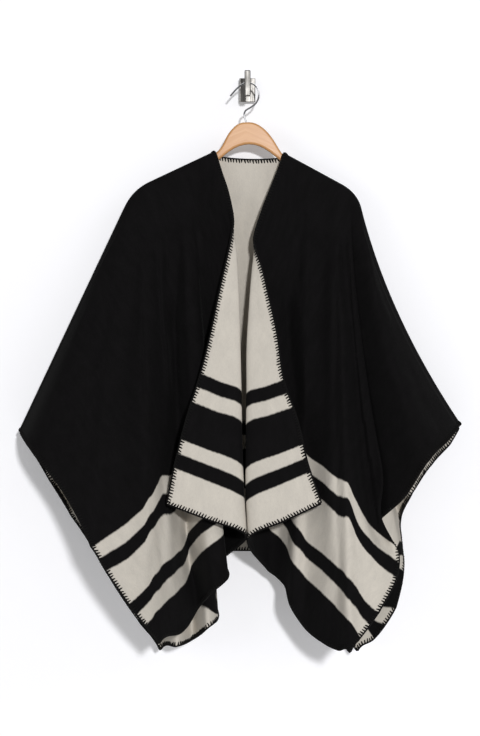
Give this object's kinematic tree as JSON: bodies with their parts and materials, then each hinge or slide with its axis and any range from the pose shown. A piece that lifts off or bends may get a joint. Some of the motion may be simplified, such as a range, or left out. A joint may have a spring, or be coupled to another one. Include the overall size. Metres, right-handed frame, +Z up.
{
  "type": "open-front blanket poncho on a wooden hanger and wall hook",
  "caption": "Wide open-front blanket wrap with turned-back lapels and bands near the hem, hung on a flat wooden hanger from a wall hook",
  "frame": {"origin": "centre of the wall plate's back face, on the wall", "axes": "+Z up, +Y into the wall the hook is fixed to (the front of the garment faces -Y), +X to the right of someone facing it"},
  "size_m": [0.8493, 0.2941, 1.1092],
  "materials": {
    "cloth_back": "brushed double-faced wool, black outside, cream inside",
    "cloth_front_left": "brushed double-faced wool, black outside, cream inside",
    "cloth_front_right": "brushed double-faced wool, black outside, cream inside",
    "wood": "clear-lacquered light wood",
    "wire": "polished chrome wire",
    "nickel": "brushed nickel"
  },
  "bodies": {
    "root": {"cloth_back": "cloth_back", "cloth_front_left": "cloth_front_left", "cloth_front_right": "cloth_front_right", "hanger_wood": "wood", "hanger_hook": "wire", "wall_plate": "nickel", "wall_arm": "nickel", "wall_bar": "nickel"}
  },
  "joints": []
}
